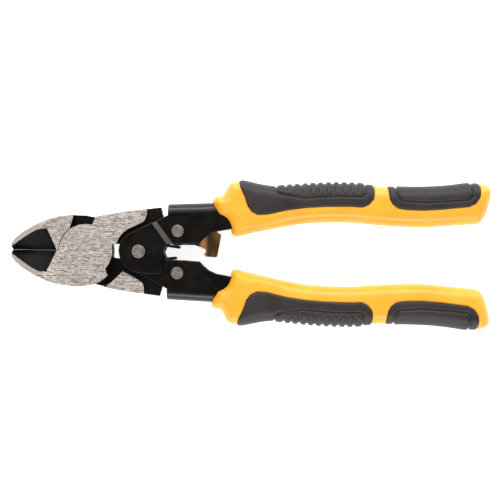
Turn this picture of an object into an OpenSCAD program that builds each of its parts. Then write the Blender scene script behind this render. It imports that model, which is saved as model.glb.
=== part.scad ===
// Compound-action cutting pliers: two forged jaws on a hidden pin, and two pressed
// channel handles that cross at a main rivet and drive the jaws through a link rivet each.
// Millimetres. The jaws point to -X, the grips to +X, and the flat sides face up and down.

/* [Overall] */
// Distance of the main rivet from the middle of the tool, towards the jaws
main_rivet_setback = 50.5; // [48:0.5:53]
// Height of the middle plane of the tool above the grips' underside
middle_height = 9; // [8.6:0.1:10]

/* [Handle channels] */
// Thickness of the pressed steel
sheet = 1.8; // [1.4:0.1:1.9]
// Half of the clear space between the two plates of a channel
half_gap = 3.2; // [3.2:0.05:3.3]
// How far the upper handle's head steps outward to pass over the lower handle's head
joggle_step = 1.9; // [1.9:0.05:2.1]
// Length of a handle's channel behind the main rivet
channel_length = 134; // [110:1:138]

/* [Jaws] */
// Thickness of a forged jaw
jaw_thickness = 10.5; // [9.5:0.1:10.6]
// Distance of the jaw pin ahead of the main rivet
jaw_pin_ahead = 23.7; // [23.5:0.1:24.2]
// Radius of the round lap around the jaw pin
lap_radius = 11.85; // [11:0.05:11.9]
// Diameter of the jaw pin
jaw_pin_diameter = 9; // [7:0.5:10]
// Gap between the two laps
lap_gap = 0.1; // [0.06:0.02:0.2]

/* [Rivets and links] */
// Diameter of the main rivet's head
main_head_diameter = 6; // [5.6:0.2:7]
// Diameter of the main rivet's shank
main_shank_diameter = 4.6; // [4.2:0.1:4.8]
// Diameter of a link rivet's head
link_head_diameter = 5.5; // [5:0.1:6]
// Diameter of a link rivet's shank
link_shank_diameter = 3.6; // [3:0.1:4]
// Distance of a link rivet behind the main rivet
link_behind = 17.2; // [17:0.1:17.4]
// Distance of a link rivet from the centre line
link_aside = 9.4; // [9.3:0.1:9.6]
// Height of a rivet head above its plate
head_height = 0.4; // [0.2:0.05:0.8]

/* [Spring and latch] */
// Diameter of the opening spring's wire
wire = 1.3; // [1:0.1:1.4]
// Radius of the spring coil, to the middle of its wire
coil_radius = 4.4; // [4.2:0.1:4.6]
// Thickness of the latch's sheet
latch_sheet = 0.9; // [0.7:0.05:0.95]
// How far the latch turns from its rest place to the catch pin
latch_turn = 38; // [36:1:40]
// Diameter of the catch pin
catch_diameter = 2; // [1.6:0.1:2]

/* [Grips] */
// Thickness of a grip's body
grip_thickness = 16.4; // [15:0.2:18]
// How far the soft pads stand out over the grip's body
pad_height = 0.8; // [0.4:0.1:0.8]

/* [Hidden] */
$fn = 64;
slip = 0.05;
edge_gap = 0.02;
overlap = 0.01;
half_jaw = jaw_thickness / 2;
half_lap_gap = lap_gap / 2;
link = [link_behind, link_aside];
jaw_pin = [-jaw_pin_ahead, 0];
plate_out = half_gap + sheet;
head_in = half_gap + joggle_step;
head_out = head_in + sheet;
arm_half = half_gap - 0.25;
tongue_half = half_gap - latch_sheet - 0.1;
tongue_radius = 4.1;
ear_radius = 6.5;
plain_from = 2.6;
slope_run = 2.4;
joggle_place = [4.9, 13.5];
joggle_angle = 36.7;
arc_parts = 28;
bevel_steps = 8;
ear_out = half_gap - slip;
ear_in = ear_out - latch_sheet;
bush_radius = 3.4;
loose_fit = 0.35;
leg_bend = 2;
pad_depth = 2;
pad_wrap = 2.4;

// The back of the channel is a half-round bend that runs straight back at a small angle
spine_start = [12.7, 21.4];
spine_angle = 2.6;

// The latch's notch, seen from its rivet, and where it lands on the lower handle
notch = [28.75, 0.55];
notch_radius = catch_diameter / 2 + 0.12;
notch_arm = norm(notch - link);
notch_angle = atan2(notch[1] - link[1], notch[0] - link[0]);
catch_angle = notch_angle - latch_turn;
catch_place = link + notch_arm * [cos(catch_angle), sin(catch_angle)];

// Outer edge of the blade and lap, from the tip back to the link arm
blade_back = [
    [-57, -2.8], [-55.2, -5.3], [-51.6, -8.2], [-46.6, -11.1], [-41.2, -13.6],
    [-36.3, -15.1], [-30, -15.9], [-24.1, -15.8], [-19.1, -14.8],
];

// Rear edge of the full-thickness face on the link arm
face_rear = [
    [3.4, 16.8], [2.9, 14.8], [2.2, 13.5], [0.7, 12.6], [-1.9, 11.4], [-5, 9.9],
    [-7, 8.3], [-8.6, 6.5], [-9.6, 4.5], [-10.1, 3.4],
];

// Outline of the crossing head, from the spine round to the throat
head_outline = [
    [9.7, 14.9], [6.4, 13.2], [3.4, 11.7], [-1, 9.5], [-4.6, 7.7],
    [-6.6, 6.1], [-7.9, 4.5], [-8.6, 2.5], [-8.9, 0.2], [-8.4, -2.4], [-7.5, -4.7],
    [-6.1, -6.3], [-3.8, -8], [-1.2, -9.2], [0.9, -9.5], [4.8, -10], [9.2, -9.9],
    [10.6, -9.3], [9.7, -4.2], [10.8, -1.1], [11.8, 1.6], [12.7, 3.4],
];

// Throat edge of a handle channel, from the crossing back into the grip
throat_edge = [
    [27, 4.1], [28.8, 6], [31.4, 8.1], [34.7, 9.5], [40.3, 10.5], [56, 13.2], [76, 16.4],
];

// Outer and inner edge of a grip
grip_outer = [
    [33.7, 25.1], [36.5, 25.5], [37.9, 27.1], [39.6, 30.3], [40.9, 31.4], [46, 32.2],
    [52.9, 30.8], [60.7, 29.9], [76.6, 31.3], [92.8, 31.7], [104.4, 30.9], [115.9, 30.3],
    [132, 30.6], [145.6, 32.2], [153.9, 32.5], [156.4, 31.2], [157.6, 28.8],
];
grip_inner = [
    [157.4, 26.7], [156.1, 21.8], [154.6, 17.9], [152.8, 15.4], [150.8, 14.6], [139.6, 13.7],
    [127.4, 12.8], [115.2, 13], [105.4, 13.6], [94.9, 14.4], [83.4, 14.3], [74.8, 13.7],
    [66.2, 12.5], [57.6, 10.6], [49, 8.7], [42.4, 7.4], [41.3, 8.6], [40.6, 11.2],
    [39.5, 13.7], [37.9, 15.4], [35.3, 16.7], [34.2, 18.4], [32.6, 22.7],
];

// Inner edges of the front and rear soft pads
front_pad_edge = [
    [42, 34], [45.6, 27.6], [48.6, 20.6], [50.4, 17.8], [53, 16.9], [62.2, 17.9],
    [74.6, 20.2], [90, 21.4], [100.5, 21.2], [104.4, 22.9], [105.4, 26.4], [105, 34],
];
rear_pad_edge = [
    [110.6, 34], [112.2, 25], [114, 21], [118, 19.1], [128, 18.9], [140, 20],
    [149, 21.7], [152, 24.6], [152.4, 28], [151.7, 35],
];

// Moves a piece from the main rivet's axis to its place in the tool
module placed() {
    translate([-main_rivet_setback, 0, middle_height])
        children();
}

// Turns a piece over the centre line, for the other jaw
module turned_over() {
    rotate([180, 0, 0])
        children();
}

// A plate between two heights
module layer(low, high) {
    translate([0, 0, low])
        linear_extrude(high - low)
            children();
}

// The same plate on both sides of the middle plane
module both_sides(low, high) {
    layer(low, high)
        children();
    layer(-high, -low)
        children();
}

// A round post across the middle plane
module post(place, radius, half_length) {
    translate([place[0], place[1], -half_length])
        cylinder(r = radius, h = 2 * half_length);
}

// --- Jaws ---

// The blade in front of the lap, which has the full thickness
module blade_outline() {
    difference() {
        polygon(concat(
            [[-57, -edge_gap], [-36, -edge_gap], [-31, -9.5], [-29.5, -14.8], [-29.5, -15.9]],
            [for (i = [5 : -1 : 0]) blade_back[i]]));
        translate(jaw_pin)
            circle(lap_radius + 0.3);
    }
}

// The lap side of the jaw: blade, disc and the front of the link arm
module lap_outline() {
    difference() {
        union() {
            translate(jaw_pin)
                circle(lap_radius);
            polygon(concat(
                [[-57, -edge_gap], [-30, -edge_gap], [-21, 11.6], [-19.4, 15.1], [-12.9, 16.6], [-3.9, 18.1], [3.4, 18.9]],
                face_rear,
                [[-11.8, 2.9], [-12.5, 0.8], [-12.6, -1.5], [-13.2, -4.1], [-14.4, -6.4], [-14.7, -8],
                 [-14.3, -9.8], [-13.6, -10.8], [-15.8, -12.9]],
                [for (i = [len(blade_back) - 1 : -1 : 0]) blade_back[i]]));
        }
        translate([-60, -edge_gap])
            square([60 - jaw_pin_ahead - lap_radius, 20]);
    }
}

// The full-thickness face of the link arm on the side away from the lap
module arm_outline() {
    difference() {
        polygon([
            [-14.3, 15.4], [-12.2, 14.1], [-7, 9], [-2.9, 11], [0.7, 13.1], [1.9, 14.1],
            [2.4, 15.4], [2.7, 18.8], [-3.9, 18.1], [-12.9, 16.6],
        ]);
        translate(jaw_pin)
            circle(18);
    }
}

// The link arm between the handle plates, with its round tongue
module tongue_outline() {
    difference() {
        union() {
            polygon([
                [-19.4, 15.1], [-12.9, 16.6], [-3.9, 18.1], [9.4, 19.8], [10.5, 15.6], [10.4, 14.6],
                [link[0] + 0.6, link[1] + 4], [link[0], link[1] - 4], [12, 5.4], [6, 5.4], [-7, 3.2], [-11.8, 3.2],
            ]);
            translate(link)
                circle(tongue_radius);
        }
        circle(coil_radius + wire + 1.6);
        translate(jaw_pin)
            circle(lap_radius - 1);
    }
}

// Ruled surface from the cutting edge up to the rim of the bevel, as one cutter
function bevel_foot(t) = [-57.4 + 21.4 * t, 0, 0];
function bevel_rim(t) = [-57.4 + 16.2 * t, -1.1 - 8.8 * t * (1.9 - 0.9 * t), half_jaw + overlap];
function bevel_top(t) = [bevel_foot(t)[0], 1, half_jaw + overlap];
function bevel_low(t) = [bevel_foot(t)[0], 1, 0];

module bevel_cutter() {
    rows = [for (i = [0 : bevel_steps]) let (t = i / bevel_steps)
        [bevel_foot(t), bevel_rim(t), bevel_top(t), bevel_low(t)]];
    points = [for (row = rows) for (point = row) point];
    last = 4 * bevel_steps;
    sides = [for (i = [0 : bevel_steps - 1]) for (k = [0 : 3])
        let (a = 4 * i + k, b = 4 * i + (k + 1) % 4)
        for (face = [[a, b, b + 4], [a, b + 4, a + 4]]) face];
    polyhedron(points, concat(sides, [[0, 2, 1], [0, 3, 2], [last, last + 1, last + 2],
        [last, last + 2, last + 3]]));
}

// Takes a thin slope off one flat side of the nose
module nose_taper() {
    translate([-45.5, 0, half_jaw])
        rotate([0, -5, 0])
            translate([-20, -30, 0])
                cube([20, 60, 5]);
}

module jaw_blank() {
    difference() {
        union() {
            layer(half_lap_gap, half_jaw)
                lap_outline();
            layer(-half_jaw, half_jaw)
                blade_outline();
            layer(-half_jaw, -arm_half)
                arm_outline();
            layer(half_lap_gap, arm_half)
                tongue_outline();
            difference() {
                layer(-arm_half - overlap, half_lap_gap + overlap)
                    tongue_outline();
                post(jaw_pin, 18, half_jaw + 1);
            }
        }
        bevel_cutter();
        mirror([0, 0, 1])
            bevel_cutter();
        nose_taper();
        mirror([0, 0, 1])
            nose_taper();
        for (side = [0, 1])
            mirror([0, 0, side])
                translate([link[0], link[1], tongue_half])
                    cylinder(r = ear_radius + 0.5, h = half_jaw);
        post(link, link_shank_diameter / 2 + slip, half_jaw);
    }
}

module lower_jaw() {
    color("silver")
        placed()
            difference() {
                jaw_blank();
                translate([jaw_pin[0], jaw_pin[1], -1])
                    cylinder(d = jaw_pin_diameter, h = 1 + half_jaw - 1.6);
            }
}

module upper_jaw() {
    color("silver")
        placed()
            difference() {
                turned_over()
                    jaw_blank();
                post(jaw_pin, jaw_pin_diameter / 2 + slip, half_jaw + 1);
            }
}

module jaw_pivot_pin() {
    color("gray")
        placed()
            translate([jaw_pin[0], jaw_pin[1], -half_jaw])
                cylinder(d = jaw_pin_diameter, h = 2 * half_jaw - 1.6);
}

// --- Handle channels ---

// Side view of a handle: head, throat edge and everything up past the back of its bend
module plate_outline() {
    polygon(concat(
        [[channel_length, 40], [spine_start[0], 40], [spine_start[0], 16.4]],
        head_outline, throat_edge, [[channel_length, 17.5]]));
}

// Puts a shape at the joggle line, with X across the line and Y back along it
module at_joggle() {
    translate([joggle_place[0], joggle_place[1], 0])
        rotate(joggle_angle)
            children();
}

// Section of the upper handle's plate across its joggle: raised head, slope, plain plate
module joggled_sheet() {
    at_joggle()
        rotate([90, 0, 0])
            translate([0, 0, -10])
                linear_extrude(40)
                    polygon([
                        [-30, head_out], [-30, head_in], [0, head_in], [slope_run, half_gap],
                        [plain_from, half_gap], [plain_from, plate_out],
                        [slope_run, plate_out], [0, head_out],
                    ]);
}

// A bar along the back of the channel, with one round side, that reaches down to the throat
module round_backed(radius, first, last) {
    arc_step = 180 / arc_parts;
    reach = 60;
    translate([spine_start[0], spine_start[1], 0])
        rotate(spine_angle)
            translate([first, -plate_out, 0])
                rotate([90, 0, 90])
                    linear_extrude(last - first)
                        polygon(concat(
                            [[-reach, -radius]],
                            [for (i = [0 : arc_parts]) radius * [sin(i * arc_step), -cos(i * arc_step)]],
                            [[-reach, radius]]));
}

// Both plates and the bend between them, before the side view is cut out
module bent_sheet() {
    difference() {
        round_backed(plate_out, -40, 140);
        round_backed(half_gap, -41, 141);
    }
}

module rivet_holes(fit) {
    post([0, 0], main_shank_diameter / 2 + fit, head_out + 1);
    post(link, link_shank_diameter / 2 + slip, head_out + 1);
}

module upper_handle_frame() {
    color("dimgray")
        placed()
            difference() {
                intersection() {
                    union() {
                        joggled_sheet();
                        mirror([0, 0, 1])
                            joggled_sheet();
                        difference() {
                            bent_sheet();
                            at_joggle()
                                translate([plain_from - 60, -60, -20])
                                    cube([60, 100, 40]);
                        }
                    }
                    layer(-20, 20)
                        plate_outline();
                }
                rivet_holes(slip);
            }
}

module lower_handle_frame() {
    color("dimgray")
        placed()
            turned_over()
                difference() {
                    intersection() {
                        bent_sheet();
                        layer(-20, 20)
                            difference() {
                                plate_outline();
                                trimmed_head();
                            }
                    }
                    rivet_holes(loose_fit);
                    post([catch_place[0], -catch_place[1]], catch_diameter / 2, head_out);
                }
}

// The part of the plain head that would meet the joggle of the other handle
module trimmed_head() {
    difference() {
        translate([-12, -20])
            square([24.2, 17.3]);
        circle(11.4);
    }
}

// --- Rivets, bush, spring and latch ---

module rivet(place, shank, head, plate_face) {
    post(place, shank / 2, plate_face);
    for (side = [0, 1])
        mirror([0, 0, side])
            translate([place[0], place[1], plate_face]) {
                cylinder(d = head, h = head_height / 2);
                translate([0, 0, head_height / 2])
                    cylinder(d1 = head, d2 = head - head_height, h = head_height / 2);
            }
}

module main_pivot_rivet() {
    color("lightgray")
        placed()
            rivet([0, 0], main_shank_diameter, main_head_diameter, head_out);
}

module upper_link_rivet() {
    color("lightgray")
        placed()
            rivet(link, link_shank_diameter, link_head_diameter, plate_out);
}

module lower_link_rivet() {
    color("lightgray")
        placed()
            turned_over()
                rivet(link, link_shank_diameter, link_head_diameter, plate_out);
}

module pivot_spacer_bush() {
    color("gray")
        placed()
            difference() {
                post([0, 0], bush_radius, half_gap - slip);
                post([0, 0], main_shank_diameter / 2 + slip, half_gap);
            }
}

module link_washer(low, high) {
    color("gray")
        placed()
            difference() {
                layer(low, high)
                    translate([link[0], -link[1]])
                        circle(d = 5.8);
                post([link[0], -link[1]], link_shank_diameter / 2 + slip, half_gap);
            }
}

module front_link_washer() {
    link_washer(ear_in, ear_out);
}

module back_link_washer() {
    link_washer(-ear_out, -ear_in);
}

// One leg of the spring: straight from the coil, then bent across the space between the plates
module spring_leg(height, reach, rise) {
    leg_end = [reach, rise];
    leg_wire = wire - 0.04;
    start_angle = atan2(rise, reach) + acos(coil_radius / norm(leg_end));
    start = coil_radius * [cos(start_angle), sin(start_angle)];
    run = leg_end - start;
    translate([start[0], start[1], height])
        rotate([0, 90, atan2(run[1], run[0])])
            cylinder(d = leg_wire, h = norm(run));
    translate([reach, rise, -leg_bend])
        cylinder(d = wire, h = 2 * leg_bend);
}

module opening_spring() {
    turn_pitch = wire - 0.08;
    color("dimgray")
        placed() {
            rotate_extrude()
                for (i = [-1 : 1])
                    translate([coil_radius, i * turn_pitch])
                        circle(d = wire);
            spring_leg(turn_pitch, 17.8, 2.1);
            mirror([0, 1, 0])
                spring_leg(-turn_pitch, 16.6, 2);
        }
}

module latch_outline() {
    difference() {
        union() {
            translate(link)
                circle(ear_radius);
            polygon([
                [15.5, 3.2], [24.9, 3.2], [28.2, 2], [29.1, -1], [30, -1.9], [34.4, -2.1],
                [35, -1.5], [36.6, 8], [32, 11], [22, 13.6], [17.2, 15.9],
            ]);
        }
        translate(notch)
            circle(notch_radius);
        polygon([notch, notch + [-0.9, 1], notch + [-3, -1], notch + [-1, -3], notch + [-0.2, -1]]);
    }
}

module lock_latch() {
    color("peru")
        placed() {
            difference() {
                both_sides(ear_in, ear_out)
                    latch_outline();
                post(link, link_shank_diameter / 2 + slip, half_gap);
            }
            layer(-ear_out, ear_out)
                polygon([[33.9, -2.08], [34.4, -2.1], [35, -1.5], [36.6, 8], [35.7, 8.2], [34.1, -1.2]]);
        }
}

module latch_catch_pin() {
    color("gray")
        placed()
            post(catch_place, catch_diameter / 2, plate_out);
}

// --- Grips ---

// Space that the steel channel takes inside a grip
module channel_core() {
    length = channel_length + 1;
    intersection() {
        layer(-plate_out, plate_out)
            polygon(concat(
                [[length, 40], [spine_start[0], 40], [spine_start[0], 3.4]],
                throat_edge, [[length, 17.5]]));
        round_backed(plate_out, -1, 140);
    }
}

module pad_outline(edge) {
    intersection() {
        polygon(edge);
        polygon(concat(grip_outer, grip_inner));
    }
}

// A pad lies on both flat sides and wraps over the outer edge; size changes its height
module pad(edge, rise) {
    half = grip_thickness / 2;
    both_sides(half - pad_depth, half + rise)
        pad_outline(edge);
    layer(-half, half)
        difference() {
            pad_outline(edge);
            translate([0, -pad_wrap])
                polygon(concat(grip_outer, grip_inner));
        }
}

module grip_body() {
    difference() {
        layer(-grip_thickness / 2, grip_thickness / 2)
            polygon(concat(grip_outer, grip_inner));
        channel_core();
        pad(front_pad_edge, 1);
        pad(rear_pad_edge, 1);
    }
}

module upper_grip_body() {
    color("gold")
        placed()
            grip_body();
}

module lower_grip_body() {
    color("gold")
        placed()
            turned_over()
                grip_body();
}

module upper_front_pad() {
    color("dimgray")
        placed()
            pad(front_pad_edge, pad_height);
}

module upper_rear_pad() {
    color("dimgray")
        placed()
            pad(rear_pad_edge, pad_height);
}

module lower_front_pad() {
    color("dimgray")
        placed()
            turned_over()
                pad(front_pad_edge, pad_height);
}

module lower_rear_pad() {
    color("dimgray")
        placed()
            turned_over()
                pad(rear_pad_edge, pad_height);
}

upper_jaw();
lower_jaw();
jaw_pivot_pin();
upper_handle_frame();
lower_handle_frame();
main_pivot_rivet();
pivot_spacer_bush();
opening_spring();
upper_link_rivet();
lower_link_rivet();
front_link_washer();
back_link_washer();
lock_latch();
latch_catch_pin();
upper_grip_body();
lower_grip_body();
upper_front_pad();
upper_rear_pad();
lower_front_pad();
lower_rear_pad();
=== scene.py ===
import math

import bmesh
import bpy
import numpy as np
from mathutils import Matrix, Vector


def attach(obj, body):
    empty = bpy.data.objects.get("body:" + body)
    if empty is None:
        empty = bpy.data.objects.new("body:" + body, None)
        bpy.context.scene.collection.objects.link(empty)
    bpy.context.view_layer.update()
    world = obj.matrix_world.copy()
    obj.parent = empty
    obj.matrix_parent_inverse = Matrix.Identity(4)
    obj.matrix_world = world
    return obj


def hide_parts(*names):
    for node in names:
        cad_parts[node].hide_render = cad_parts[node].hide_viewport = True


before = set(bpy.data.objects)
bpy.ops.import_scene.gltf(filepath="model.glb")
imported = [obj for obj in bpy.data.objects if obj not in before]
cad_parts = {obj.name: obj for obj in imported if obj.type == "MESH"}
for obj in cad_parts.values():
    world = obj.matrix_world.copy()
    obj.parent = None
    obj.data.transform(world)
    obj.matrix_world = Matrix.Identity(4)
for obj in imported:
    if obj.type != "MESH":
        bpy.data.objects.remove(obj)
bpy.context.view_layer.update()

# Metres in a millimetre; the main rivet's place and the middle plane, in mm; half a jaw's thickness, in mm
MM = 0.001
MAIN_RIVET_X = -50.5
MID_HEIGHT = 9.0
JAW_HALF = 5.25
# Where the nose starts to thin, in mm from the main rivet, and its slope in degrees
NOSE_START = -45.5
NOSE_SLOPE = 5
# Small punch mark beside the lower link rivet, in the row frame
DENT = ((MAIN_RIVET_X + 21.4) * MM, -14.9 * MM)


# ---------------------------------------------------------------- placing

def placed(points, flipped=False):
    """Points in mm from the main rivet, on the middle plane, to metres in the row frame."""
    points = np.array(points, float).reshape(-1, 3)
    if flipped:
        points = points * [1, -1, -1]
    return (points + [MAIN_RIVET_X, 0, MID_HEIGHT]) * MM


def mesh_piece(name, points, faces, material, smooth=True):
    mesh = bpy.data.meshes.new(name)
    mesh.from_pydata([tuple(p) for p in points], [], faces)
    mesh.update()
    piece = bpy.data.objects.new(name, mesh)
    bpy.context.scene.collection.objects.link(piece)
    if smooth:
        mesh.polygons.foreach_set("use_smooth", [True] * len(mesh.polygons))
    mesh.materials.append(material)
    return piece


# ---------------------------------------------------------------- materials

class Nodes:
    """A small helper that adds shader nodes and links their sockets."""

    def __init__(self, name):
        self.material = bpy.data.materials.new(name)
        self.material.use_nodes = True
        self.tree = self.material.node_tree
        self.shader = self.tree.nodes["Principled BSDF"]
        self.coords = self.add("ShaderNodeTexCoord")

    def add(self, kind, **settings):
        node = self.tree.nodes.new(kind)
        for key, value in settings.items():
            setattr(node, key, value)
        return node

    def link(self, start, end):
        self.tree.links.new(start, end)

    def value(self, socket, amount):
        """Sets a socket to a number, or links it to another node's output."""
        if isinstance(amount, bpy.types.NodeSocket):
            self.link(amount, socket)
        else:
            socket.default_value = amount

    def math(self, operation, *amounts, clamp=False):
        node = self.add("ShaderNodeMath", operation=operation, use_clamp=clamp)
        for socket, amount in zip(node.inputs, amounts):
            self.value(socket, amount)
        return node.outputs[0]

    def ramp(self, amount, low, high, to_low=0.0, to_high=1.0):
        node = self.add("ShaderNodeMapRange", interpolation_type="SMOOTHSTEP")
        for socket, number in zip(node.inputs[:5], (amount, low, high, to_low, to_high)):
            self.value(socket, number)
        return node.outputs[0]

    def mix(self, amount, first, second):
        node = self.add("ShaderNodeMix", data_type="RGBA")
        self.value(node.inputs[0], amount)
        self.value(node.inputs[6], first)
        self.value(node.inputs[7], second)
        return node.outputs[2]

    def noise(self, scale, stretch=(1, 1, 1), detail=4.0, roughness=0.55):
        mapping = self.add("ShaderNodeMapping")
        mapping.inputs["Scale"].default_value = stretch
        self.link(self.coords.outputs["Object"], mapping.inputs["Vector"])
        node = self.add("ShaderNodeTexNoise")
        node.inputs["Scale"].default_value = scale
        node.inputs["Detail"].default_value = detail
        node.inputs["Roughness"].default_value = roughness
        self.link(mapping.outputs[0], node.inputs["Vector"])
        return node.outputs["Fac"]

    def place(self):
        """The X, Y and Z of the shaded point in the row frame at rest."""
        node = self.add("ShaderNodeSeparateXYZ")
        self.link(self.coords.outputs["Object"], node.inputs[0])
        return node.outputs

    def facing(self):
        """The X, Y and Z of the surface's direction, on the piece itself."""
        node = self.add("ShaderNodeSeparateXYZ")
        self.link(self.coords.outputs["Normal"], node.inputs[0])
        return node.outputs

    def bump(self, height, distance, strength=1.0, after=None):
        node = self.add("ShaderNodeBump")
        node.inputs["Strength"].default_value = strength
        node.inputs["Distance"].default_value = distance
        self.link(height, node.inputs["Height"])
        if after is not None:
            self.link(after, node.inputs["Normal"])
        return node.outputs[0]

    def finish(self, color, roughness, normal=None, **constants):
        self.value(self.shader.inputs["Base Color"], color)
        self.value(self.shader.inputs["Roughness"], roughness)
        if normal is not None:
            self.link(normal, self.shader.inputs["Normal"])
        for key, amount in constants.items():
            self.value(self.shader.inputs[key.replace("_", " ")], amount)
        return self.material


def jaw_steel():
    """Black forged steel whose flat outer faces are ground bright, with the grain along the tool."""
    n = Nodes("ground_steel")
    x, _, z = n.place()[:3]
    up = n.math("ABSOLUTE", n.facing()[2])
    off_middle = n.math("ABSOLUTE", n.math("SUBTRACT", z, MID_HEIGHT * MM))
    flat = n.ramp(up, 0.90, 0.97)
    past_start = n.math("MAXIMUM", n.math("SUBTRACT", (MAIN_RIVET_X + NOSE_START) * MM, x), 0.0)
    nose_drop = n.math("MULTIPLY", past_start, math.tan(math.radians(NOSE_SLOPE)))
    depth = n.math("ADD", off_middle, nose_drop)
    ahead = n.ramp(x, (MAIN_RIVET_X - 36) * MM, (MAIN_RIVET_X - 35) * MM, (JAW_HALF - 0.12) * MM, 3.5 * MM)
    outside = n.ramp(n.math("SUBTRACT", depth, ahead), 0.0, 0.05 * MM)
    ground = n.math("MULTIPLY", flat, outside)
    nose = n.ramp(x, (MAIN_RIVET_X - 46.4) * MM, (MAIN_RIVET_X - 45.2) * MM)
    grain = n.noise(1.0, (620, 3000, 900), detail=7, roughness=0.72)
    coarse = n.noise(1.0, (300, 1900, 300), detail=4, roughness=0.65)
    cloud = n.noise(110, detail=3)
    streak = n.math("ADD", n.math("MULTIPLY", grain, 0.6), n.math("MULTIPLY", coarse, 0.4))
    streak = n.math("ADD", n.math("MULTIPLY", n.math("SUBTRACT", streak, 0.5), nose), 0.5)
    bright = n.mix(n.ramp(streak, 0.42, 0.57), (0.215, 0.184, 0.166, 1), (0.79, 0.715, 0.655, 1))
    bright = n.mix(n.ramp(cloud, 0.35, 0.75, 0.0, 0.35), bright, (0.44, 0.39, 0.355, 1))
    scale = n.noise(900, detail=5, roughness=0.7)
    black = n.mix(n.ramp(scale, 0.3, 0.75), (0.0028, 0.0024, 0.0022, 1), (0.0085, 0.0072, 0.0066, 1))
    color = n.mix(ground, black, bright)
    metal_rough = n.ramp(streak, 0.2, 0.8, 0.30, 0.46)
    rough = n.math("ADD", n.math("MULTIPLY", metal_rough, ground),
                   n.math("MULTIPLY", n.math("SUBTRACT", 1.0, ground), 0.5))
    lines = n.bump(streak, 0.00006, 0.5)
    pits = n.bump(scale, 0.00005, 0.25, after=lines)
    return n.finish(color, rough, pits, Metallic=n.ramp(ground, 0, 1, 0.0, 0.9), Specular_IOR_Level=0.08)


def black_oxide():
    """Pressed steel with a satin black oxide finish, worn a little lighter in patches."""
    n = Nodes("black_oxide_steel")
    x, y, _ = n.place()[:3]
    cloud = n.noise(160, detail=4)
    fine = n.noise(2400, detail=4, roughness=0.65)
    color = n.mix(n.ramp(cloud, 0.3, 0.75), (0.0030, 0.0026, 0.0023, 1), (0.0085, 0.0072, 0.0062, 1))
    color = n.mix(n.ramp(fine, 0.55, 0.8, 0, 0.3), color, (0.016, 0.0135, 0.012, 1))
    rough = n.ramp(cloud, 0.3, 0.7, 0.24, 0.34)
    dent = n.math("SQRT", n.math("ADD", n.math("POWER", n.math("SUBTRACT", x, DENT[0]), 2.0),
                                 n.math("POWER", n.math("SUBTRACT", y, DENT[1]), 2.0)))
    rim = n.ramp(n.math("ABSOLUTE", n.math("SUBTRACT", dent, 1.2 * MM)), 0.0, 0.45 * MM, 1.0, 0.0)
    normal = n.bump(rim, 0.0005, 1.0)
    normal = n.bump(fine, 0.00002, 0.15, after=normal)
    sheen = n.ramp(n.math("ABSOLUTE", n.facing()[2]), 0.90, 0.999, 0.34, 0.055)
    return n.finish(color, rough, normal, Specular_IOR_Level=sheen)


def plain_metal(name, dark, light, metallic, rough, grain_scale, depth, coat=0.0):
    """Metal for small parts, from two tones and a grain size."""
    n = Nodes(name)
    grain = n.noise(grain_scale, detail=6, roughness=0.72)
    cloud = n.noise(grain_scale * 0.15, detail=3)
    color = n.mix(n.ramp(grain, 0.32, 0.68), dark, light)
    color = n.mix(n.ramp(cloud, 0.4, 0.7, 0, 0.4), color, dark)
    return n.finish(color, n.ramp(grain, 0.2, 0.8, rough - 0.07, rough + 0.09),
                    n.bump(grain, depth, 0.5), Metallic=metallic, Coat_Weight=coat)


def latch_bronze():
    """Yellow-bronze plating with copper and olive clouds, a painted copper highlight on the ear near the
    plate's edge, and painted shade on the end that lies between the plates.
    """
    n = Nodes("bronze_plated_steel")
    cloud = n.noise(150, (1, 0.6, 1), detail=3, roughness=0.5)
    fine = n.noise(3000, detail=3)
    color = n.mix(n.ramp(cloud, 0.36, 0.62), (0.055, 0.034, 0.014, 1), (0.17, 0.092, 0.032, 1))
    color = n.mix(n.ramp(fine, 0.5, 0.8, 0, 0.3), color, (0.30, 0.17, 0.06, 1))
    x = n.place()[0]
    # start is 0 on the end of the latch between the plates, where shade is painted, and rises to 1 past it
    start = n.ramp(x, (MAIN_RIVET_X + 26.0) * MM, (MAIN_RIVET_X + 28.0) * MM)
    painted_highlight_wedge = n.ramp(x, (MAIN_RIVET_X + 28.8) * MM, (MAIN_RIVET_X + 31.2) * MM, 0.8, 0.0)
    # Painted copper highlight on the ear just past the plate's edge
    color = n.mix(n.math("MULTIPLY", start, painted_highlight_wedge), color, (0.62, 0.27, 0.085, 1))
    # Painted shade, near black, on the end that lies between the plates
    color = n.mix(start, (0.022, 0.016, 0.010, 1), color)
    return n.finish(color, n.ramp(cloud, 0.3, 0.7, 0.24, 0.4), n.bump(fine, 0.00004, 0.3), Metallic=0.9)


def yellow_plastic():
    """Hard moulded plastic: a fine orange-peel skin and slow changes of tone."""
    n = Nodes("yellow_grip")
    skin = n.noise(1900, detail=3)
    slow = n.noise(70, (1, 1.6, 1.6), detail=3)
    flow = n.noise(1.0, (45, 420, 420), detail=3)
    color = n.mix(n.ramp(slow, 0.3, 0.7), (0.90, 0.36, 0.012, 1), (0.95, 0.41, 0.018, 1))
    color = n.mix(n.ramp(flow, 0.55, 0.8, 0, 0.2), color, (0.97, 0.50, 0.04, 1))
    normal = n.bump(flow, 0.00020, 0.35)
    normal = n.bump(skin, 0.00005, 0.35, after=normal)
    return n.finish(color, n.ramp(slow, 0.3, 0.7, 0.36, 0.46), normal, Coat_Weight=0.12, Coat_Roughness=0.3)


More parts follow.
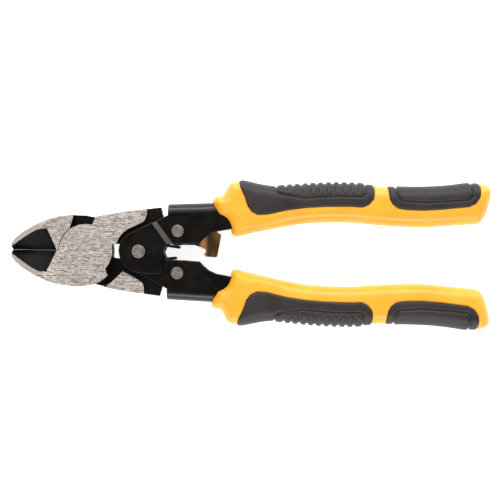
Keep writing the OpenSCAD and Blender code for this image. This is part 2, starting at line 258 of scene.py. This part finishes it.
def soft_pad():
    """Soft dark elastomer with a fine sand-blasted skin."""
    n = Nodes("grey_pad")
    skin = n.noise(3800, detail=4, roughness=0.7)
    slow = n.noise(90, detail=3)
    dust = n.noise(1200, detail=5, roughness=0.7)
    color = n.mix(n.ramp(slow, 0.3, 0.7), (0.019, 0.0155, 0.0148, 1), (0.030, 0.0250, 0.0240, 1))
    color = n.mix(n.ramp(dust, 0.6, 0.8, 0, 0.2), color, (0.060, 0.052, 0.050, 1))
    rough = n.ramp(slow, 0.3, 0.7, 0.44, 0.54)
    return n.finish(color, rough, n.bump(skin, 0.00006, 0.5), Specular_IOR_Level=0.28)


STEEL = jaw_steel()
OXIDE = black_oxide()
DARK = plain_metal("dark_steel", (0.012, 0.011, 0.01, 1), (0.035, 0.03, 0.028, 1), 0.7, 0.42, 1500, 0.00004)
RIVET = plain_metal("rivet_steel", (0.05, 0.043, 0.038, 1), (0.42, 0.375, 0.34, 1), 0.8, 0.42, 2600, 0.00014)
WIRE = plain_metal("spring_wire", (0.008, 0.008, 0.008, 1), (0.02, 0.019, 0.018, 1), 0.75, 0.3, 2500, 0.00003)
BRONZE = latch_bronze()
YELLOW = yellow_plastic()
PAD = soft_pad()


# ---------------------------------------------------------------- CAD metal nodes

def dress(node, material, edge=0.25, dissolve=True):
    """A carried-over CAD node gets its material and small broken edges."""
    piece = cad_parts[node]
    piece.data.materials.clear()
    piece.data.materials.append(material)
    piece.data.polygons.foreach_set("use_smooth", [True] * len(piece.data.polygons))
    weld = piece.modifiers.new("weld", "WELD")
    weld.merge_threshold = 2e-6
    if dissolve:
        flat = piece.modifiers.new("flat", "DECIMATE")
        flat.decimate_type = "DISSOLVE"
        flat.angle_limit = math.radians(0.3)
    bevel = piece.modifiers.new("bevel", "BEVEL")
    bevel.width = edge * MM
    bevel.segments = 2
    bevel.limit_method = "ANGLE"
    bevel.angle_limit = math.radians(28)
    bevel.use_clamp_overlap = False
    bevel.loop_slide = False
    normals = piece.modifiers.new("normals", "WEIGHTED_NORMAL")
    normals.keep_sharp = True
    normals.weight = 80


for node in ("upper_jaw", "lower_jaw"):
    dress(node, STEEL, 0.03, dissolve=False)
for node in ("upper_handle_frame", "lower_handle_frame"):
    dress(node, OXIDE, 0.32)
for node in ("main_pivot_rivet", "upper_link_rivet", "lower_link_rivet"):
    dress(node, RIVET, 0.1)
for node in ("jaw_pivot_pin", "pivot_spacer_bush", "front_link_washer", "back_link_washer"):
    dress(node, DARK, 0.12)
dress("latch_catch_pin", OXIDE, 0.06)
dress("lock_latch", BRONZE, 0.18)


# ---------------------------------------------------------------- opening spring

WIRE_RADIUS = 0.65
COIL_RADIUS = 4.4
COIL_RISE = 1.5
LEG_BEND = 2.0
UPPER_LEG_END = (17.8, 2.1)
LOWER_LEG_END = (16.3, -2.7)


def tube(name, path, radius, material, sides=14):
    """A round wire along a path of points in mm."""
    path = np.array(path, float)
    ahead = np.gradient(path, axis=0)
    ahead /= np.linalg.norm(ahead, axis=1)[:, None]
    side = np.cross(ahead[0], [0.3, 0.2, 1.0])
    points = []
    for at, direction in zip(path, ahead):
        side = side - direction * np.dot(side, direction)
        side /= np.linalg.norm(side)
        other = np.cross(direction, side)
        for k in range(sides):
            turn = 2 * math.pi * k / sides
            points.append(at + radius * (side * math.cos(turn) + other * math.sin(turn)))
    faces = []
    for i in range(len(path) - 1):
        for k in range(sides):
            a, b = i * sides + k, i * sides + (k + 1) % sides
            faces.append((a, b, b + sides, a + sides))
    faces.append(tuple(range(sides - 1, -1, -1)))
    last = (len(path) - 1) * sides
    faces.append(tuple(range(last, last + sides)))
    return mesh_piece(name, placed(points), faces, material)


def leg_tangent(end):
    """Angle on the coil, above the centre line, where a straight leg to that end leaves it."""
    reach = math.hypot(*end)
    return math.atan2(abs(end[1]), end[0]) + math.acos(COIL_RADIUS / reach)


def bent_leg(start, end, height):
    """Points of a leg that runs straight, then bends across the space between the plates."""
    start, corner = np.array([*start, height]), np.array([*end, height])
    along = (corner - start) / np.linalg.norm(corner - start)
    bend = 1.0
    points = [start + (corner - bend * along - start) * t for t in np.linspace(0, 1, 12)]
    for turn in np.linspace(0.15, 1, 6) * math.pi / 2:
        lift = np.array([0, 0, math.copysign(1 - math.cos(turn), -height)])
        points.append(corner - bend * along + bend * (math.sin(turn) * along + lift))
    for z in np.linspace(points[-1][2], math.copysign(LEG_BEND, -height), 8)[1:]:
        points.append(np.array([corner[0], corner[1], z]))
    return points


def make_spring():
    first, last = -leg_tangent(LOWER_LEG_END), leg_tangent(UPPER_LEG_END) - 6 * math.pi
    turns = np.linspace(first, last, 110)
    rise = np.linspace(-COIL_RISE, COIL_RISE, len(turns))
    coil = [(COIL_RADIUS * math.cos(a), COIL_RADIUS * math.sin(a), z) for a, z in zip(turns, rise)]
    leg = bent_leg(coil[-1][:2], UPPER_LEG_END, COIL_RISE)
    piece = tube("opening_spring_coil", coil + leg[1:], WIRE_RADIUS, WIRE)
    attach(piece, "upper_handle")
    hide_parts("opening_spring")
    low = bent_leg(coil[0][:2], LOWER_LEG_END, -COIL_RISE)
    piece = tube("opening_spring_lower_leg", low, WIRE_RADIUS, WIRE)
    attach(piece, "lower_handle")


make_spring()


# ---------------------------------------------------------------- grips

GRIP_OUTER = [
    (33.7, 25.1), (36.5, 25.5), (37.9, 27.1), (39.6, 30.3), (40.9, 31.4), (43.4, 32.0), (46.0, 32.2),
    (49.0, 31.7), (52.9, 30.8), (57.3, 30.1), (60.7, 29.9), (70.2, 30.7), (83.1, 31.6), (96.0, 31.7),
    (104.4, 31.0), (115.9, 30.3), (124.7, 30.3), (132.0, 30.6), (139.3, 31.3), (145.6, 32.2),
    (150.5, 32.5), (153.9, 32.5), (156.4, 31.2), (157.6, 28.8),
]
GRIP_INNER = [
    (42.4, 7.4), (44.4, 7.5), (49.0, 8.7), (57.6, 10.6), (66.2, 12.5), (74.8, 13.7), (83.4, 14.3),
    (94.9, 14.4), (105.4, 13.6), (115.2, 13.0), (127.4, 12.8), (139.6, 13.7), (147.0, 14.3),
    (150.8, 14.6), (152.8, 15.4), (154.6, 17.9), (156.1, 21.8), (157.3, 26.7),
]
GRIP_FRONT = [
    (42.4, 7.4), (41.3, 8.6), (40.6, 11.2), (39.5, 13.7), (37.9, 15.4), (35.3, 16.7), (34.2, 18.4),
    (32.8, 21.4), (32.6, 23.4), (33.7, 25.1),
]
# Points of the inner and the outer edge that face each other
FACING = [
    ((42.4, 7.4), (33.7, 25.1)), ((45.5, 7.8), (39.6, 30.3)), ((52.0, 9.4), (46.0, 32.2)),
    ((62.0, 11.6), (57.3, 30.1)), ((83.4, 14.3), (83.1, 31.6)), ((115.2, 13.0), (115.9, 30.3)),
    ((139.6, 13.7), (138.0, 31.2)), ((150.8, 14.6), (147.5, 32.3)), ((154.6, 17.9), (152.5, 32.5)),
    ((156.6, 23.5), (156.4, 31.2)), ((157.3, 26.7), (157.6, 28.8)),
]
FRONT_PAD = [
    (43.2, 36), (45.0, 29.2), (47.1, 24.6), (48.3, 20.9), (50.2, 18.4), (53.0, 17.1), (57.4, 17.4),
    (65.9, 19.4), (74.5, 20.6), (83.1, 21.2), (94.6, 21.4), (99.3, 21.1), (102.2, 22.4), (104.3, 24.9),
    (104.6, 27.6), (104.5, 36),
]
REAR_PAD = [
    (110.4, 36), (111.0, 28.4), (111.4, 24.9), (112.8, 22.5), (115.2, 20.9), (119.6, 20.3), (127.0, 20.2),
    (134.3, 20.7), (146.5, 22.1), (149.5, 23.5), (151.4, 26.2), (151.8, 29.2), (151.5, 36),
]
FRONT_PANEL = [
    (61.0, 36), (61.3, 27.6), (62.2, 26.7), (68.5, 25.7), (73.7, 25.0), (78.9, 25.5), (87.5, 26.1),
    (94.7, 26.1), (99.5, 25.9), (100.5, 27.0), (100.4, 36),
]
REAR_PANEL = [
    (114.3, 36), (114.9, 26.6), (116.3, 24.6), (127.2, 23.9), (139.4, 24.7), (146.8, 25.4), (147.9, 26.6),
    (147.7, 36),
]
HALF_THICKNESS = 8.2
RIB_PITCH = 3.5
RIBS = (63.4, 98.8)
STATIONS = 330
AROUND = 120


def spline(points, count):
    """A smooth line through the points, evenly spaced along its length."""
    points = np.array(points, float)
    ends = np.vstack([2 * points[0] - points[1], points, 2 * points[-1] - points[-2]])
    t = np.linspace(0, 1, 16, endpoint=False)[:, None]
    parts = []
    for a, b, c, d in zip(ends[:-3], ends[1:-2], ends[2:-1], ends[3:]):
        square, cube = 2 * a - 5 * b + 4 * c - d, 3 * b - a - 3 * c + d
        parts.append(0.5 * (2 * b + (c - a) * t + square * t**2 + cube * t**3))
    line = np.vstack([*parts, points[-1:]])
    length = np.concatenate([[0], np.cumsum(np.linalg.norm(np.diff(line, axis=0), axis=1))])
    at = np.linspace(0, length[-1], count)
    return np.column_stack([np.interp(at, length, line[:, k]) for k in range(2)])


def inside_distance(points, outline):
    """Distance from each point to a closed outline, positive inside it."""
    start, end = outline, np.roll(outline, -1, axis=0)
    best = np.full(len(points), 1e9)
    inside = np.zeros(len(points), bool)
    for a, b in zip(start, end):
        run = b - a
        if np.dot(run, run) < 1e-12:
            continue
        share = np.clip((points - a) @ run / np.dot(run, run), 0, 1)
        best = np.minimum(best, np.linalg.norm(points - a - share[:, None] * run, axis=1))
        crosses = (a[1] > points[:, 1]) != (b[1] > points[:, 1])
        with np.errstate(divide="ignore", invalid="ignore"):
            at = a[0] + (points[:, 1] - a[1]) / (b[1] - a[1]) * run[0]
        inside ^= crosses & (points[:, 0] < at)
    return np.where(inside, best, -best)


def smooth_step(low, high, value):
    t = np.clip((value - low) / (high - low), 0, 1)
    return t * t * (3 - 2 * t)


def nearest(line, point):
    """Which point of a line is nearest to a place."""
    return np.argmin(np.linalg.norm(line - np.array(point), axis=1))


def grip_grid():
    """Places on the grip's side view, one row per station and one column per step round the section."""
    outer, inner, front = spline(GRIP_OUTER, 900), spline(GRIP_INNER, 900), spline(GRIP_FRONT, 200)
    inner_at = [nearest(inner, i) for i, _ in FACING]
    outer_at = [nearest(outer, o) for _, o in FACING]
    weight = [0.5 * (inner_at[k] + outer_at[k]) for k in range(len(FACING))]
    station = np.linspace(weight[0], weight[-1], STATIONS)
    index = np.arange(900)
    on_inner = np.interp(station, weight, inner_at)
    on_outer = np.interp(station, weight, outer_at)
    low = np.column_stack([np.interp(on_inner, index, inner[:, k]) for k in range(2)])
    high = np.column_stack([np.interp(on_outer, index, outer[:, k]) for k in range(2)])
    around = 2 * math.pi * np.arange(AROUND) / AROUND
    share = 0.5 - 0.5 * np.cos(around)
    grid = low[:, None, :] + share[None, :, None] * (high - low)[:, None, :]
    front_at = np.column_stack([np.interp(share, np.linspace(0, 1, 200), front[:, k]) for k in range(2)])
    away = front_at - (low[0] + share[:, None] * (high[0] - low[0]))
    fade = np.clip(1 - (on_inner - on_inner[0]) / 110, 0, 1) ** 2
    grid += fade[:, None, None] * away[None, :, :]
    side = np.where(np.sin(around) >= -1e-9, 1.0, -1.0)
    outline = np.vstack([outer, inner[::-1], front[1:-1]])
    return grid.reshape(-1, 2), np.tile(side, STATIONS), outline[::4]


def grip_height(places, outline):
    """Half thickness of the grip at each place: flat in the middle and well rounded to the edge."""
    inside = np.maximum(inside_distance(places, outline), 0)
    edge = 6.6 - 1.6 * smooth_step(52, 44, places[:, 0])
    share = np.clip(inside / edge, 0, 1)
    body = HALF_THICKNESS * (1 - (1 - share) ** 2.3) ** (1 / 2.1)
    along = places[:, 0]
    waist = 1 - 0.07 * np.exp(-((along - 62) / 9) ** 2) - 0.03 * np.exp(-((along - 122) / 18) ** 2)
    return body * waist


def surface_normals(points):
    """Outward directions of the closed grid of points."""
    grid = points.reshape(STATIONS, AROUND, 3)
    along = np.gradient(grid, axis=0)
    around = np.roll(grid, -1, axis=1) - np.roll(grid, 1, axis=1)
    normal = np.cross(along, around).reshape(-1, 3)
    length = np.linalg.norm(normal, axis=1)[:, None]
    normal = normal / np.maximum(length, 1e-9)
    centre = np.array([0, 21.5, 0]) + points * [1, 0, 0]
    flip = np.sum(normal * (points - centre), axis=1) < 0
    normal[flip] *= -1
    return normal


def grip_faces(keep=None):
    faces = []
    for i in range(STATIONS - 1):
        for k in range(AROUND):
            a, b = i * AROUND + k, i * AROUND + (k + 1) % AROUND
            quad = (a, b, b + AROUND, a + AROUND)
            if keep is None or any(keep[v] for v in quad):
                faces.append(quad)
    return faces


def closed(piece):
    """Joins vertices that fall together, drops what is loose and points the faces outward."""
    bm = bmesh.new()
    bm.from_mesh(piece.data)
    bmesh.ops.remove_doubles(bm, verts=bm.verts, dist=0.00002)
    bmesh.ops.dissolve_degenerate(bm, edges=bm.edges, dist=0.00001)
    loose = [v for v in bm.verts if not v.link_faces]
    bmesh.ops.delete(bm, geom=loose, context="VERTS")
    bmesh.ops.recalc_face_normals(bm, faces=bm.faces)
    bm.to_mesh(piece.data)
    bm.free()


def groove(distance, width, depth):
    return -depth * np.exp(-(distance / width) ** 2)


def make_grip(which):
    places, side, outline = grip_grid()
    height = grip_height(places, outline)
    base = np.column_stack([places, side * height])
    normal = surface_normals(base)
    front = inside_distance(places, np.array(FRONT_PAD))
    rear = inside_distance(places, np.array(REAR_PAD))
    pads = np.maximum(front, rear)
    front_panel = inside_distance(places, np.array(FRONT_PANEL))
    rear_panel = inside_distance(places, np.array(REAR_PANEL))
    flipped = which == "lower"
    # Yellow body: sunk under the pads, with a narrow channel round them and a moulding line
    lift = -1.0 * smooth_step(-0.15, 0.5, pads) + groove(pads, 0.35, 0.25)
    lift += groove(base[:, 2], 0.16, 0.12) * (height > 0.02)
    ridge = np.exp(-((places[:, 1] - 12.2 - 0.045 * (places[:, 0] - 44)) / 1.3) ** 2)
    lift += 0.3 * ridge * smooth_step(44, 52, places[:, 0]) * smooth_step(74, 62, places[:, 0])
    body = mesh_piece(which + "_grip", placed(base + lift[:, None] * normal, flipped), grip_faces(), YELLOW)
    closed(body)
    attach(body, which + "_handle")
    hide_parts(which + "_grip_body")
    for label, inside, panel in (("front", front, front_panel), ("rear", rear, rear_panel)):
        crown = 0.5 * smooth_step(-0.1, 0.9, inside) - 1.2 * smooth_step(0.1, -0.5, inside)
        raised = 0.3 * smooth_step(0.0, 0.8, panel) + groove(panel + 0.25, 0.5, 0.8)
        if label == "front":
            wave = np.cos(2 * math.pi * (places[:, 0] - RIBS[0]) / RIB_PITCH)
            ends = smooth_step(RIBS[0] - 1.6, RIBS[0] - 0.8, places[:, 0])
            ends *= smooth_step(RIBS[1] + 1.6, RIBS[1] + 0.8, places[:, 0])
            raised -= 0.8 * smooth_step(-0.35, 0.25, -wave - 0.35) * ends * smooth_step(0.6, 1.6, panel)
        lift = crown + raised * smooth_step(0.2, 1.0, inside)
        shape = placed(base + lift[:, None] * normal, flipped)
        pad = mesh_piece(f"{which}_{label}_pad_skin", shape, grip_faces(inside > -0.45), PAD)
        closed(pad)
        shell = pad.modifiers.new("shell", "SOLIDIFY")
        shell.thickness = 0.8 * MM
        shell.offset = -1
        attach(pad, which + "_handle")
        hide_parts(f"{which}_{label}_pad")


for which in ("upper", "lower"):
    make_grip(which)


# ---------------------------------------------------------------- floor, light and camera

def make_floor():
    n = Nodes("studio_floor")
    mottle = n.noise(6, detail=2)
    n.shader.inputs["Emission Color"].default_value = (1, 1, 1, 1)
    n.finish(n.mix(mottle, (0.62, 0.62, 0.62, 1), (0.64, 0.64, 0.64, 1)), 0.8, Emission_Strength=0.82)
    reach = 3.0
    corners = [(-reach, -reach, 0), (reach, -reach, 0), (reach, reach, 0), (-reach, reach, 0)]
    floor = mesh_piece("studio_floor", corners, [(0, 1, 2, 3)], n.material, smooth=False)


def area_light(name, place, size, power):
    data = bpy.data.lights.new(name, "AREA")
    data.shape = "RECTANGLE"
    data.size, data.size_y = size
    data.energy = power
    light = bpy.data.objects.new(name, data)
    bpy.context.scene.collection.objects.link(light)
    light.location = place
    light.rotation_euler = (-Vector(place)).to_track_quat("-Z", "Y").to_euler()


def make_studio():
    world = bpy.data.worlds.new("studio")
    world.use_nodes = True
    background = world.node_tree.nodes["Background"]
    background.inputs["Color"].default_value = (1, 1, 1, 1)
    background.inputs["Strength"].default_value = 0.68
    bpy.context.scene.world = world
    bpy.context.scene.view_settings.view_transform = "Standard"
    area_light("key", (-0.3, 0.5, 0.8), (0.5, 0.4), 2.2)
    area_light("upper_strip", (-0.02, 0.55, 0.24), (0.7, 0.14), 3)
    area_light("lower_strip", (-0.02, -0.55, 0.24), (0.7, 0.14), 2.6)
    area_light("right_box", (0.6, 0.42, 0.2), (0.3, 0.25), 1.4)


def make_camera():
    data = bpy.data.cameras.new("camera")
    data.lens = 88
    data.sensor_width = 36
    camera = bpy.data.objects.new("camera", data)
    bpy.context.scene.collection.objects.link(camera)
    camera.location = (-0.0009, 0.0014, 0.55 + MID_HEIGHT * MM)
    camera.rotation_euler = (0, 0, math.radians(0.88))
    bpy.context.scene.camera = camera


make_floor()
make_studio()
make_camera()
